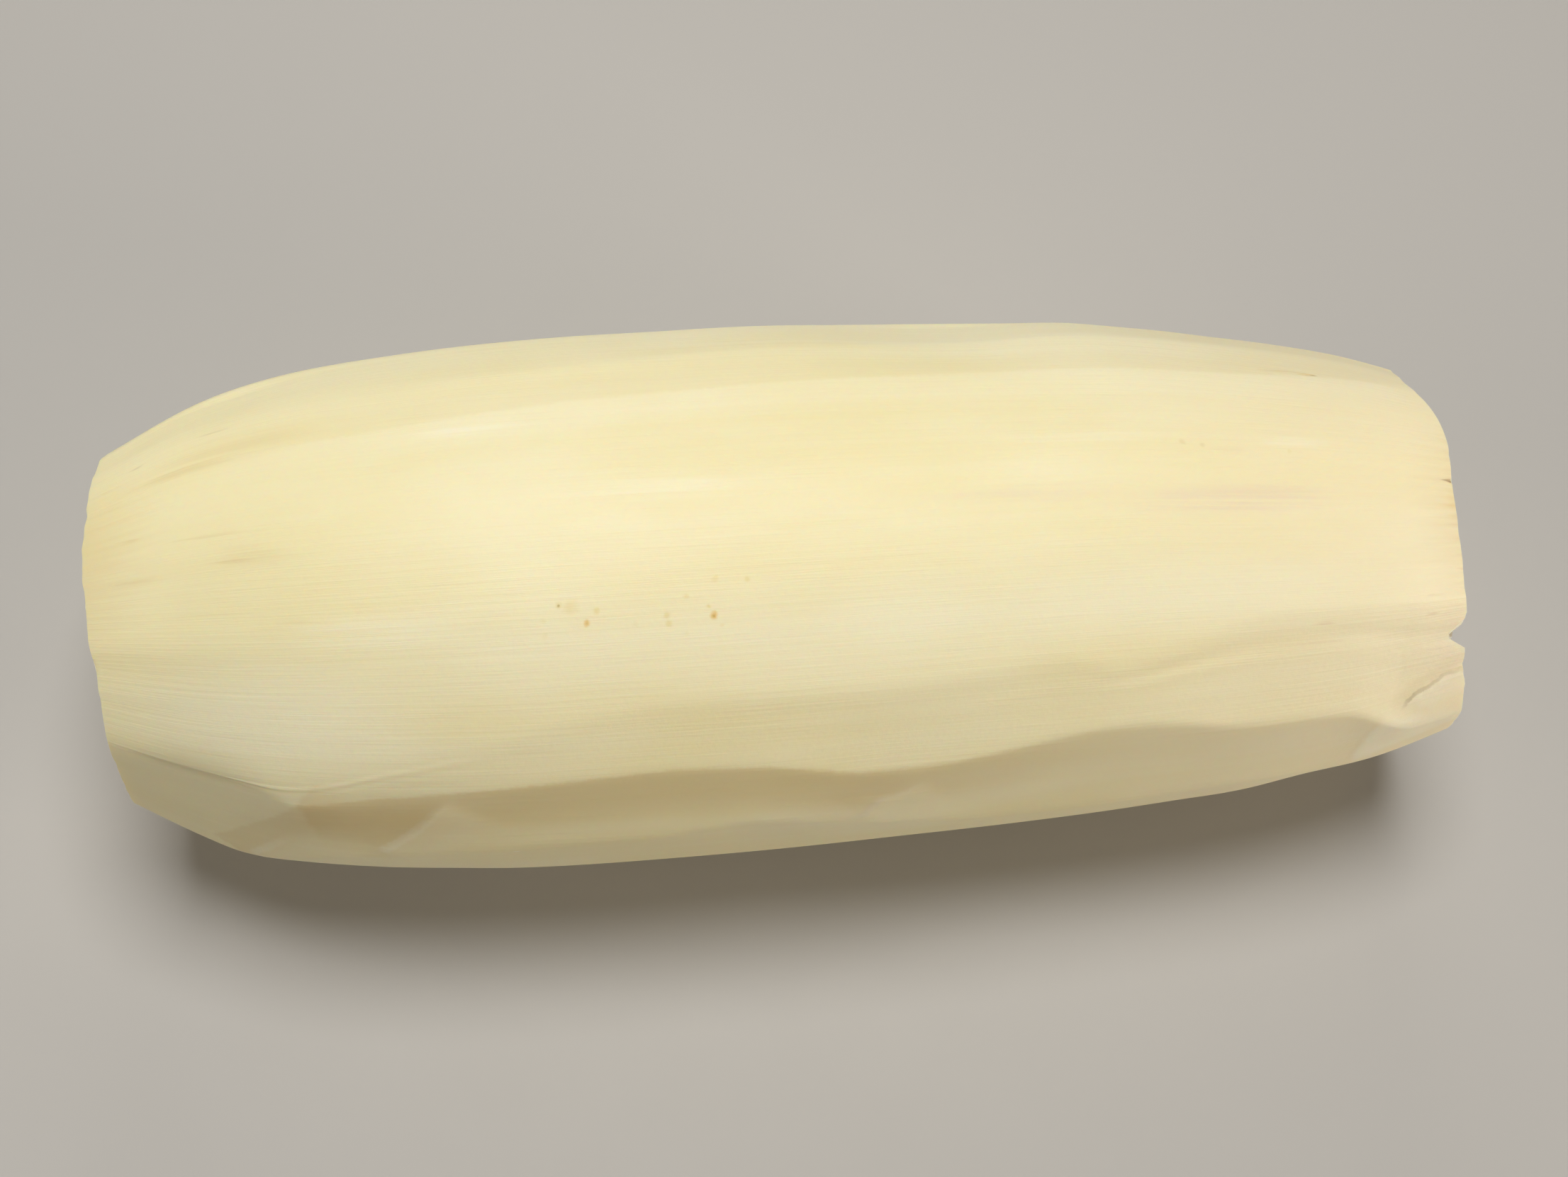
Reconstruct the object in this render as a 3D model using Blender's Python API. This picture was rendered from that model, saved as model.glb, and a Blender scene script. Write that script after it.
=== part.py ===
# One peeled segment of a lotus root, lying on its side, with both ends cut across.
# The flesh is one piece. Air canals run through it from cut to cut.
#
# The root lies along X. A station is a place along it, in millimetres from its middle.
# A section angle is in degrees round the root's axis, from the far side (+Y) over the top (+Z):
# 0 is the far side, 90 the top, 180 the near side and 270 the underside.

import math

import bmesh
import bpy
from mathutils import Matrix, Vector

NAME = "lotus_root"
MM = 0.001

# Driving dimensions, in millimetres and degrees

# Radius along the root: (station, radius)
GIRTH = [
    (-90, 16.4),
    (-80, 22.3),
    (-70, 27.4),
    (-60, 30.3),
    (-48, 32.0),
    (-33, 33.1),
    (-10, 33.3),
    (8, 33.0),
    (37, 31.9),
    (52, 30.5),
    (65, 28.7),
    (76, 26.4),
    (92, 21.2),
]

# The root bends a little toward the far side: (station, shift along Y)
BEND = [(-90, 0.4), (-50, 0.3), (-15, 0.7), (37, 1.3), (60, 0.8), (92, 0.6)]

# Height of the axis above the surface that the root lies on. It is less than the girth,
# so that the stroke on the underside leaves a flat spot to rest on.
AXIS_HEIGHT = 31.5

# Each end is cut by one plane: the station where it crosses the axis, and its slope dX/dZ
LEFT_CUT = (-80.85, -0.07)
RIGHT_CUT = (85.0, -0.16)

# The peeler leaves long strokes that meet at low ridges. Each ridge is a line of
# (station, section angle), then come the flatness of the stroke that follows it, where 1 is
# flat and 0 is round, and the number of columns of faces across that stroke.
STROKES = [
    ([(-80, 46), (-60, 41), (-20, 35), (40, 28), (80, 34)], 0.8, 4),
    ([(-80, 61), (-30, 57), (0, 52), (40, 47), (80, 44)], 0.6, 2),
    ([(-80, 74), (-50, 72.5), (-25, 68.5), (5, 65.5), (55, 62), (80, 56)], 0.3, 5),
    ([(-80, 95), (-15, 91), (40, 87), (80, 85)], 0.3, 4),
    ([(-80, 118), (0, 112), (80, 106)], 0.35, 4),
    (
        [
            (-80, 137),
            (-52, 139),
            (-20, 135),
            (12, 134),
            (29, 131),
            (37, 133),
            (56, 124),
            (80, 125),
        ],
        0.85,
        4,
    ),
    (
        [
            (-80, 153),
            (-68, 154.5),
            (-59.5, 158.5),
            (-50, 155),
            (-33, 152),
            (-16, 150),
            (-5, 151),
            (6, 155),
            (16, 155),
            (34, 149.5),
            (43, 149.5),
            (52, 152.5),
            (70, 155),
            (80, 160),
        ],
        0.95,
        5,
    ),
    (
        [
            (-80, 193),
            (-67, 190.5),
            (-54, 180),
            (-36, 175),
            (-15, 172.5),
            (-6, 169.5),
            (6, 173),
            (25, 179.5),
            (60, 178.5),
            (80, 187),
        ],
        0.75,
        4,
    ),
    ([(-80, 209), (0, 197), (80, 212)], 0.7, 4),
    ([(-80, 233), (0, 226), (80, 235)], 0.7, 4),
    ([(-80, 256), (80, 256)], 0.7, 4),
    ([(-80, 284), (80, 284)], 1.0, 4),
    ([(-80, 308), (0, 313), (80, 306)], 0.7, 4),
    ([(-80, 335), (0, 340), (80, 333)], 0.7, 4),
    ([(-80, 376), (0, 368), (80, 371)], 0.7, 4),
]

# The peeler went unevenly deep along some strokes: the section angle, how far round from it
# this reaches, and how much higher the skin is there, as (station, height)
UNEVEN = [
    (
        40,
        32,
        [
            (-80, -0.3),
            (-72, -0.6),
            (-65, -0.85),
            (-57, -0.5),
            (-48, -0.2),
            (-36, 0.1),
            (-25, 0.3),
            (-14, 0.15),
            (2, 0.1),
            (10, -0.3),
            (18, -0.55),
            (25, -0.45),
            (35, 0.25),
            (45, 0.05),
            (60, -0.15),
            (72, -0.3),
            (82, -0.45),
        ],
    ),
    (
        195,
        24,
        [
            (-80, 0.0),
            (-72, 0.2),
            (-67, 0.6),
            (-60, 0.45),
            (-50, 0.3),
            (-40, 0.0),
            (50, 0.0),
            (59, 0.35),
            (68, 0.0),
        ],
    ),
]

# One short stroke planes the near side of the left end: its section angle, how far it is
# tipped toward the end, and its distance from the middle of the root
END_STROKE = (165.0, 22.6, 50.45)
# It starts at this ridge, counted from 0, and reaches on round the underside
END_STROKE_RIDGE = 6

# Rings of vertices along the skin, and steps that find where a column meets a cut
RINGS = 44
RIM_STEPS = 8

# The air canals: a ring of nine, the two on top being small, one thin canal in the middle,
# and fine ones in the wall between. Section angle of the canal, distance of its middle from
# the axis, half its height along the radius and half its width, as shares of the girth.
CANALS = [
    (71, 0.56, 0.15, 0.10),
    (106, 0.55, 0.14, 0.105),
    (146, 0.54, 0.21, 0.15),
    (188, 0.53, 0.22, 0.16),
    (231, 0.54, 0.20, 0.155),
    (272, 0.52, 0.22, 0.15),
    (313, 0.53, 0.20, 0.16),
    (355, 0.53, 0.22, 0.15),
    (34, 0.54, 0.20, 0.145),
    (90, 0.03, 0.085, 0.075),
    (126, 0.75, 0.04, 0.04),
    (52, 0.76, 0.04, 0.04),
]
CANAL_SIDES = 10
CANAL_RINGS = 12
# A canal is this much wider on its outer side than on its inner side
CANAL_FLARE = 0.28
# The canals close up a little faster than the girth does toward the ends
CANAL_NARROWING = 0.6
# Half the length of a canal's cutter, past both cuts
CANAL_REACH = 92

# A chip is missing from the rim of the right cut: its section angle, how deep it goes along
# the root, its width round the rim and how deep it goes in from the skin
CHIP_ANGLE = 136.5
CHIP_DEPTH = 2.6
CHIP_WIDTH = 5.4
CHIP_WALL = 6.3

# Edges sharper than this are left unsmoothed
SHARP_ANGLE = 35.0

FLESH_COLOR = (0.83, 0.74, 0.46, 1.0)
FLESH_ROUGHNESS = 0.42


def along(points, station):
    """Value at a station of a smooth line through (station, value) points."""
    if station <= points[0][0]:
        return points[0][1]
    if station >= points[-1][0]:
        return points[-1][1]
    i = max(k for k in range(len(points) - 1) if points[k][0] <= station)
    x0, y0 = points[i]
    x1, y1 = points[i + 1]

    def slope(k):
        before = points[max(k - 1, 0)]
        after = points[min(k + 1, len(points) - 1)]
        return (after[1] - before[1]) / (after[0] - before[0])

    span = x1 - x0
    t = (station - x0) / span
    start = (1 + 2 * t) * (1 - t) ** 2 * y0 + t * (1 - t) ** 2 * span * slope(i)
    end = t * t * (3 - 2 * t) * y1 + t * t * (t - 1) * span * slope(i + 1)
    return start + end


def girth(station):
    return along(GIRTH, station)


def centre(station):
    """The axis of the root at a station."""
    return Vector((station, along(BEND, station), 0.0))


def around(angle):
    """Unit vector out of the axis at a section angle."""
    turn = math.radians(angle)
    return Vector((0.0, math.cos(turn), math.sin(turn)))


def uneven(station, angle):
    """How much higher the skin is where the peeler went less deep, fading round the root."""
    height = 0.0
    for middle, width, line in UNEVEN:
        share = max(1 - abs(angle - middle) / width, 0)
        height += along(line, station) * share * share * (3 - 2 * share)
    return height


def end_stroke_radius(station, angle):
    """Radius where the short stroke at the left end cuts, endless where it faces away."""
    stroke_angle, tip, distance = END_STROKE
    normal = around(stroke_angle) * math.cos(math.radians(tip))
    normal.x = -math.sin(math.radians(tip))
    facing = normal.dot(around(angle))
    if facing <= 0:
        return math.inf
    return (distance - normal.dot(centre(station))) / facing


def skin_point(column, station):
    """Point of the skin in one column of vertices, at a station."""
    for number, (ridge, flatness, count) in enumerate(STROKES):
        if column < count:
            break
        column -= count
    following = STROKES[(number + 1) % len(STROKES)][0]
    first = along(ridge, station)
    last = along(following, station)
    if number == len(STROKES) - 1:
        last += 360.0
    angle = first + (last - first) * column / count
    half = math.radians(last - first) / 2
    off_middle = math.radians(angle) - math.radians(first) - half
    chord = math.cos(half) / math.cos(off_middle)
    radius = girth(station) * (1 - flatness * (1 - chord))
    if number >= END_STROKE_RIDGE:
        radius = min(radius, end_stroke_radius(station, angle))
    elif number == END_STROKE_RIDGE - 1:
        # The stroke above leans in to the edge of the short one
        radius -= max(girth(station) - end_stroke_radius(station, last), 0) * column / count
    point = centre(station) + around(angle) * (radius + uneven(station, angle))
    point.z = max(point.z, -AXIS_HEIGHT)
    return point


def rim_station(cut, column):
    """Station where a column of the skin meets an end cut, closed in on step by step."""
    crossing, slope = cut
    station = crossing
    for _ in range(RIM_STEPS):
        station = crossing + slope * skin_point(column, station).z
    return station


def make_tube(sides, rings, place):
    """Closed tube from a cylinder, whose vertices go to place(column, share of the length)."""
    shape = bmesh.new()
    bmesh.ops.create_cone(
        shape, cap_ends=True, segments=sides, radius1=1.0, radius2=1.0, depth=1.0
    )
    lengthwise = [edge for edge in shape.edges if abs(edge.verts[0].co.z - edge.verts[1].co.z) > 0.5]
    bmesh.ops.subdivide_edges(shape, edges=lengthwise, cuts=rings - 2, use_grid_fill=True)
    for vertex in shape.verts:
        turn = math.atan2(-vertex.co.x, vertex.co.y) / math.tau
        vertex.co = place(round(turn * sides) % sides, vertex.co.z + 0.5)
    bmesh.ops.recalc_face_normals(shape, faces=shape.faces)
    if shape.calc_volume(signed=True) < 0:
        bmesh.ops.reverse_faces(shape, faces=shape.faces)
    return shape


def make_skin():
    """The outside of the root, closed by its two flat cuts."""
    columns = sum(count for _, _, count in STROKES)
    rims = [(rim_station(LEFT_CUT, column), rim_station(RIGHT_CUT, column)) for column in range(columns)]

    def place(column, share):
        left, right = rims[column]
        return skin_point(column, left + (right - left) * share)

    return make_tube(columns, RINGS, place)


def canal_point(canal, corner, station):
    """Point on the wall of a canal, drop-shaped in section and wider outside."""
    angle, distance, half_height, half_width = canal
    turn = math.tau * corner / CANAL_SIDES
    size = girth(station) * (girth(station) / girth(0)) ** CANAL_NARROWING
    outward = around(angle)
    sideways = around(angle + 90)
    width = half_width * (1 + CANAL_FLARE * math.cos(turn))
    middle = centre(station) + outward * distance * girth(station)
    return middle + outward * half_height * size * math.cos(turn) + sideways * width * size * math.sin(turn)


def make_canal(canal):
    """Cutter for one air canal."""

    def place(corner, share):
        return canal_point(canal, corner, CANAL_REACH * (2 * share - 1))

    return make_tube(CANAL_SIDES, CANAL_RINGS, place)


def make_chip():
    """Cutter for the chip in the right rim: a three-sided wedge that points into the flesh."""
    shape = bmesh.new()
    bmesh.ops.create_cone(
        shape, cap_ends=True, segments=3, radius1=1.0, radius2=1.0, depth=1.0
    )
    out = around(CHIP_ANGLE)
    crossing, slope = RIGHT_CUT
    radius = girth(crossing)
    rim = crossing + slope * radius * out.z
    # The wedge is twice as long as the chip is deep, so its outer half stands clear of the cut
    reach = CHIP_DEPTH * 4 / 3
    sideways = around(CHIP_ANGLE + 90) * CHIP_WIDTH * 2 / math.sqrt(3)
    inward = Vector((-reach, 0, 0))
    place = Matrix((sideways, inward, out * 2 * CHIP_WALL)).transposed().to_4x4()
    place.translation = centre(crossing) + out * radius
    place.translation.x = rim - CHIP_DEPTH + reach
    bmesh.ops.transform(shape, matrix=place, verts=shape.verts)
    bmesh.ops.recalc_face_normals(shape, faces=shape.faces)
    return shape


def underside_middle(shape):
    """Middle of the underside of a shape's box."""
    low = Vector([min(vertex.co[k] for vertex in shape.verts) for k in range(3)])
    high = Vector([max(vertex.co[k] for vertex in shape.verts) for k in range(3)])
    middle = (low + high) / 2
    middle.z = low.z
    return middle


def add_object(name, shape, origin, collection):
    """Object in metres from a shape in millimetres, with the origin given."""
    bmesh.ops.translate(shape, vec=-origin, verts=shape.verts)
    bmesh.ops.scale(shape, vec=(MM, MM, MM), verts=shape.verts)
    mesh = bpy.data.meshes.new(name)
    shape.to_mesh(mesh)
    shape.free()
    thing = bpy.data.objects.new(name, mesh)
    collection.objects.link(thing)
    return thing


def add_cutter(name, shape, origin, collection, body):
    """Cutter that takes its shape out of the body."""
    cutter = add_object(name, shape, origin, collection)
    cutter.hide_render = True
    cutter.display_type = "WIRE"
    cut = body.modifiers.new(name, "BOOLEAN")
    cut.operation = "DIFFERENCE"
    cut.solver = "EXACT"
    cut.object = cutter


def flesh_material():
    material = bpy.data.materials.new("flesh")
    material.use_nodes = True
    shader = material.node_tree.nodes["Principled BSDF"]
    shader.inputs["Base Color"].default_value = FLESH_COLOR
    shader.inputs["Roughness"].default_value = FLESH_ROUGHNESS
    shader.inputs["Metallic"].default_value = 0.0
    return material


def new_collection(name):
    collection = bpy.data.collections.new(name)
    bpy.context.scene.collection.children.link(collection)
    return collection


def main():
    for thing in list(bpy.data.objects):
        bpy.data.objects.remove(thing)
    parts = new_collection("peeled_lotus_root")
    cutters = new_collection("cutters")
    skin = make_skin()
    origin = underside_middle(skin)
    root = add_object(NAME, skin, origin, parts)
    root.data.materials.append(flesh_material())
    for number, canal in enumerate(CANALS):
        add_cutter(f"air_canal_{number + 1}", make_canal(canal), origin, cutters, root)
    add_cutter("rim_chip", make_chip(), origin, cutters, root)
    root.data.shade_smooth()
    root.data.set_sharp_from_angle(angle=math.radians(SHARP_ANGLE))


main()
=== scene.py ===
import math

import bpy
import numpy as np
from mathutils import Matrix, Vector
from mathutils.geometry import delaunay_2d_cdt


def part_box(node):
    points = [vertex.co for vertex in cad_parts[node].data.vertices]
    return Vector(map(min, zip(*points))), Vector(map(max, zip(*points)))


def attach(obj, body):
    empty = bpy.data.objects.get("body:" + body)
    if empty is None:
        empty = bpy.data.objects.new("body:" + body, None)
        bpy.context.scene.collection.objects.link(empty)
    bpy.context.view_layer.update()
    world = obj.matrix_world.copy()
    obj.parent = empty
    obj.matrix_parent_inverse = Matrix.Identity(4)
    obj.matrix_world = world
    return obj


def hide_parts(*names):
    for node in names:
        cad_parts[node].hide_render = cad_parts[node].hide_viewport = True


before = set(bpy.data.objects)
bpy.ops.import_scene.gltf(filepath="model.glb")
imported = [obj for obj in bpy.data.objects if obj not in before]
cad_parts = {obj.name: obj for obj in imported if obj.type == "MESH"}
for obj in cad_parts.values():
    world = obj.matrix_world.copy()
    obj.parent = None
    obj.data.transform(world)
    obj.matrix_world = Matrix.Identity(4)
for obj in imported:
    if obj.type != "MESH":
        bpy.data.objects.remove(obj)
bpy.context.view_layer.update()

# Camera
# It looks down on the root from the near side and a little from the left, through a lens
# about twice as long as a phone's own, so the two cut faces stay just out of sight.
MM = 0.001
IMAGE_WIDTH = 2212
FOCAL_PIXELS = 3300
SENSOR_WIDTH = 36.0
CAMERA_PLACE = Vector((-37.4, -113.0, 305.0)) * MM
CAMERA_AIM = Vector((-2.1, 0.1, 31.5)) * MM
CAMERA_ROLL = 13.1

view = bpy.data.cameras.new("view")
view.sensor_width = SENSOR_WIDTH
view.lens = SENSOR_WIDTH * FOCAL_PIXELS / IMAGE_WIDTH
view.clip_start = 0.01
camera = bpy.data.objects.new("camera", view)
bpy.context.scene.collection.objects.link(camera)
looking = (CAMERA_AIM - CAMERA_PLACE).to_track_quat("-Z", "Y").to_matrix()
rolled = looking @ Matrix.Rotation(math.radians(CAMERA_ROLL), 3, "Z")
camera.matrix_world = Matrix.Translation(CAMERA_PLACE) @ rolled.to_4x4()
bpy.context.scene.camera = camera

# Peeled skin
# The root is one segment of flesh, swollen in the middle and bent a little to the far side.
# A peeler has taken its brown skin off in long strokes, which meet at low ridges.

# A station is in millimetres along the root, a section angle in degrees from the far side
# over the top: 90 is the top, 180 the near side and 270 the underside.
GIRTH = [
    (-90, 16.4),
    (-80, 22.3),
    (-70, 27.4),
    (-60, 30.3),
    (-48, 32.0),
    (-33, 33.1),
    (-10, 33.3),
    (8, 33.0),
    (37, 31.9),
    (52, 30.5),
    (65, 28.7),
    (76, 26.4),
    (92, 21.2),
]
FULL_GIRTH = 33.0
BEND = [(-90, 0.4), (-50, 0.3), (-15, 0.7), (37, 1.3), (60, 0.8), (92, 0.6)]
AXIS_HEIGHT = 31.5
# Each ridge as (station, section angle), then how flat the stroke after it is
STROKES = [
    ([(-80, 46), (-60, 41), (-20, 35), (40, 28), (80, 34)], 0.8),
    ([(-80, 61), (-30, 57), (0, 52), (40, 47), (80, 44)], 0.6),
    ([(-80, 74), (-50, 72.5), (-25, 68.5), (5, 65.5), (55, 62), (80, 56)], 0.3),
    ([(-80, 95), (-15, 91), (40, 87), (80, 85)], 0.3),
    ([(-80, 118), (0, 112), (80, 106)], 0.35),
    (
        [
            (-80, 150),
            (-60, 151.5),
            (-46, 145),
            (-20, 135),
            (12, 134),
            (29, 131),
            (37, 133),
            (56, 124),
            (80, 125),
        ],
        0.85,
    ),
    (
        [
            (-80, 153),
            (-68, 154.5),
            (-59.5, 158.5),
            (-50, 155),
            (-33, 152),
            (-16, 150),
            (-5, 151),
            (6, 155),
            (16, 155),
            (34, 149.5),
            (43, 149.5),
            (52, 152.5),
            (67, 154.5),
            (72, 160),
            (77, 167),
            (82, 169),
        ],
        0.95,
    ),
    (
        [
            (-80, 193),
            (-67, 190.5),
            (-54, 180),
            (-36, 175),
            (-15, 172.5),
            (-6, 169.5),
            (6, 173),
            (25, 179.5),
            (60, 178.5),
            (80, 187),
        ],
        0.75,
    ),
    ([(-80, 209), (0, 197), (80, 212)], 0.7),
    ([(-80, 233), (0, 226), (80, 235)], 0.7),
    ([(-80, 256), (80, 256)], 0.7),
    ([(-80, 284), (80, 284)], 1.0),
    ([(-80, 308), (0, 313), (80, 306)], 0.7),
    ([(-80, 335), (0, 340), (80, 333)], 0.7),
    ([(-80, 376), (0, 368), (80, 371)], 0.7),
]
# No stroke is deeper in its middle than this share of the girth
DEEPEST_STROKE = 0.045
# The peeler went unevenly deep along some strokes: the section angle, how far round from it
# this reaches, and how much higher the skin is there, as (station, height)
UNEVEN = [
    (
        40,
        32,
        [
            (-80, -0.3),
            (-72, -0.6),
            (-65, -0.85),
            (-57, -0.5),
            (-48, -0.3),
            (-36, 0.05),
            (-25, 0.25),
            (-14, 0.1),
            (2, 0.05),
            (10, -0.4),
            (18, -0.8),
            (25, -0.75),
            (35, -0.05),
            (45, 0.0),
            (60, -0.15),
            (72, -0.3),
            (82, -0.45),
        ],
    ),
    (
        18,
        22,
        [
            (-82, -0.25),
            (-75, -0.45),
            (-70, -0.6),
            (-65, -0.7),
            (-60, -0.5),
            (-55, -0.27),
            (-40, 0.0),
            (8, 0.0),
            (18, -0.1),
            (28, -0.33),
            (37, 0.15),
            (45, 0.0),
            (52, 0.15),
            (58, -0.1),
            (65, 0.0),
            (75, -0.25),
            (82, -0.2),
        ],
    ),
    (
        195,
        24,
        [
            (-80, 0.0),
            (-72, 0.2),
            (-67, 0.6),
            (-60, 0.45),
            (-50, 0.3),
            (-40, 0.0),
            (50, 0.0),
            (59, 0.2),
            (68, -0.2),
            (80, -0.25),
        ],
    ),
]
# One short stroke planes the near side of the left end: its section angle, tip toward the end
# and distance from the middle of the root, and the first of the long strokes that it cuts into
END_STROKE = (167.0, 22.6, 50.50)
FIRST_PLANED_STROKE = 4
# Where it faces away from the skin, by nearly a right angle or more, it cuts nothing
LEAST_FACING = 0.05
FAR_OUTSIDE = 1000.0
LEFT_CUT = (-80.85, -0.07)
RIGHT_CUT = (85.0, -0.16)
COLUMNS_PER_DEGREE = 1.12
RINGS = 200
# Rings stand closer together toward both ends, where the rims are worn and chipped
END_CROWDING = 0.40
# A ridge is rounded over this many degrees to each side, a worn one over many more. The
# columns looked at to each side have to reach that far.
CRISP_ROUNDING = 2.4
WORN_ROUNDING = 8.5
ROUNDING_COLUMNS = 16
# How worn each ridge is, from 0 to 1
WEAR = [0.2, 0.2, 0.1, 1.0, 1.0, 0.25, 0.0, 0.1, 0.2, 0.3, 0.3, 0.3, 0.3, 0.3, 0.3]
# Where a ridge is worn away toward an end: section angle, how far round from it this reaches,
# the station where it starts and the one where it is complete
WORN_ENDS = [(148.0, 12.0, -30.0, -52.0), (62.0, 24.0, -30.0, -55.0)]
CUT_STEPS = 8
# Unevenness of the peeled skin: waves round the root, waves along it, height
WOBBLES = [(11, 6, 0.14), (29, 11, 0.04), (75, 9, 0.013), (150, 10, 0.009)]
# Frayed rims: waves round the rim and depth
RIM_FRAYS = [(24, 0.14), (95, 0.10)]
# The knife swerved a little through the rims: how far each stands out, as (section angle,
# length), with section angles from -60 on
SWERVE_START = -60
LEFT_SWERVE = [
    (50, -0.3),
    (85, -0.15),
    (105, -0.2),
    (118, -0.45),
    (128, -0.9),
    (140, -0.85),
    (155, -0.8),
    (170, -0.6),
    (190, -0.3),
]
RIGHT_SWERVE = [
    (-60, 0.0),
    (-20, -0.4),
    (10, -1.2),
    (35, -2.0),
    (50, -2.1),
    (57, -1.2),
    (64, -0.3),
    (72, 0.25),
    (80, 0.3),
    (90, -0.3),
    (108, -0.7),
    (122, -0.45),
    (150, -0.3),
    (160, 0.3),
    (175, 0.3),
    (190, 0.0),
]
# Damage to the right rim: section angle, depth, width above it and width below it
CHIPS = [(136.4, 2.9, 2.3, 2.2), (91.2, 0.20, 0.5, 0.6), (148.9, 0.45, 0.5, 0.4)]
# A chip runs this far in over the cut face, and comes to nothing over the last part of it
CHIP_WALL = 7.2
CHIP_RUN_OUT = 1.5
# A chip leans toward the near side as it goes in: degrees for each millimetre
CHIP_LEAN = 1.3
# Where a stroke started or stopped, the flesh to the right of a line stands up in a low step.
# The last of them is a crack from the right rim, and the flap under it. The three without a
# height are edges that are only tinted, with painted shade beside two of them and a painted
# highlight beside the worn ridge. Each is a name, the line from its lower left end as
# (station, section angle), step height, how far the step reaches, and how far the line fades
# at its start and at its end.
SEAMS = [
    (
        "worn_ridge",
        [(-78, 73.0), (-50, 72.5), (-25, 68.5), (5, 65.5), (55, 62), (80, 56)],
        0.0,
        1.0,
        30.0,
        8.0,
    ),
    (
        "near_ridge",
        [
            (-59.4, 158.3),
            (-50, 155),
            (-33, 152),
            (-16, 150),
            (-5, 151),
            (6, 155),
            (16, 155),
            (34, 149.5),
            (67, 154),
        ],
        0.0,
        1.0,
        0.5,
        70.0,
    ),
    (
        "end_edge",
        [(-70.6, 186.7), (-66.4, 175.7), (-63.1, 167.5), (-59.4, 158.3), (-56, 148)],
        0.0,
        1.0,
        0.0,
        6.0,
    ),
    ("second", [(-66.7, 190.8), (-63.4, 181.5), (-60.4, 172.9)], 0.15, 2.5, 2.0, 4.0),
    (
        "left",
        [(-50.7, 176.6), (-48.7, 173.0), (-45.7, 166.5), (-43.6, 160.3), (-41.6, 155.2)],
        0.30,
        5.0,
        1.0,
        3.0,
    ),
    (
        "middle",
        [(6.2, 171.6), (7.6, 169.8), (8.8, 165.5), (11.6, 163.7), (14.3, 159.7)],
        0.20,
        5.0,
        1.0,
        3.0,
    ),
    ("right", [(71.5, 184.0), (70.6, 176.0), (71.2, 166.0), (72.5, 157.0)], 0.12, 4.0, 3.0, 3.0),
    (
        "crack",
        [(74.9, 159.0), (75.3, 156.4), (76.5, 153.9), (78.3, 152.7), (80.0, 150.2), (84.0, 149.4)],
        0.20,
        3.5,
        2.0,
        0.0,
    ),
]
STEP_WIDTH = 0.7

chance = np.random.default_rng(7)


def along(points, station):
    """Smooth line through (station, value) points, read at an array of stations."""
    places, values = np.array(points, float).T
    last = len(places) - 1
    before = np.maximum(np.arange(last + 1) - 1, 0)
    after = np.minimum(np.arange(last + 1) + 1, last)
    slopes = (values[after] - values[before]) / (places[after] - places[before])
    station = np.clip(station, places[0], places[-1])
    i = np.clip(np.searchsorted(places, station, side="right") - 1, 0, last - 1)
    span = places[i + 1] - places[i]
    t = (station - places[i]) / span
    start = (1 + 2 * t) * (1 - t) ** 2 * values[i] + t * (1 - t) ** 2 * span * slopes[i]
    end = t * t * (3 - 2 * t) * values[i + 1] + t * t * (t - 1) * span * slopes[i + 1]
    return start + end


def sloping(t):
    """Eases from 0 to 1 over t from 0 to 1."""
    t = np.clip(t, 0, 1)
    return t * t * (3 - 2 * t)


def unevenness(turn, share, around, lengthwise):
    """Smooth random field on the unrolled skin, closed on itself round the root."""
    knots = chance.uniform(-1, 1, (lengthwise + 1, around))
    a = np.mod(turn, 1.0) * around
    b = np.clip(share, 0, 0.9999) * lengthwise
    i = a.astype(int) % around
    j = b.astype(int)
    across = sloping(a - np.floor(a))
    onward = sloping(b - j)
    near = knots[j, i] * (1 - across) + knots[j, (i + 1) % around] * across
    far = knots[j + 1, i] * (1 - across) + knots[j + 1, (i + 1) % around] * across
    return near * (1 - onward) + far * onward


def from_axis(station, angle, radius):
    """Points at a distance from the root's axis."""
    turn = np.radians(angle)
    side = along(BEND, station) + radius * np.cos(turn)
    return np.stack([station, side, radius * np.sin(turn)], -1)


def stroke_columns():
    """Stroke number and share across the stroke of each column of the skin."""
    numbers = []
    shares = []
    for number, (ridge, flatness) in enumerate(STROKES):
        following = STROKES[(number + 1) % len(STROKES)][0]
        width = (along(following, 0.0) - along(ridge, 0.0)) % 360
        count = round(float(width) * COLUMNS_PER_DEGREE)
        numbers += [number] * count
        shares += [k / count for k in range(count)]
    return np.array(numbers), np.array(shares)


stroke_of, share_of = stroke_columns()
COLUMNS = len(stroke_of)


def end_stroke_radius(station, angle):
    """Radius at which the short stroke at the left end cuts, or far outside where it faces away."""
    stroke_angle, tip, distance = END_STROKE
    tip = math.radians(tip)
    facing = math.cos(tip) * np.cos(np.radians(angle - stroke_angle))
    side = math.cos(tip) * math.cos(math.radians(stroke_angle))
    room = distance + math.sin(tip) * station - side * along(BEND, station)
    return np.where(facing > LEAST_FACING, room / np.maximum(facing, LEAST_FACING), FAR_OUTSIDE)


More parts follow.
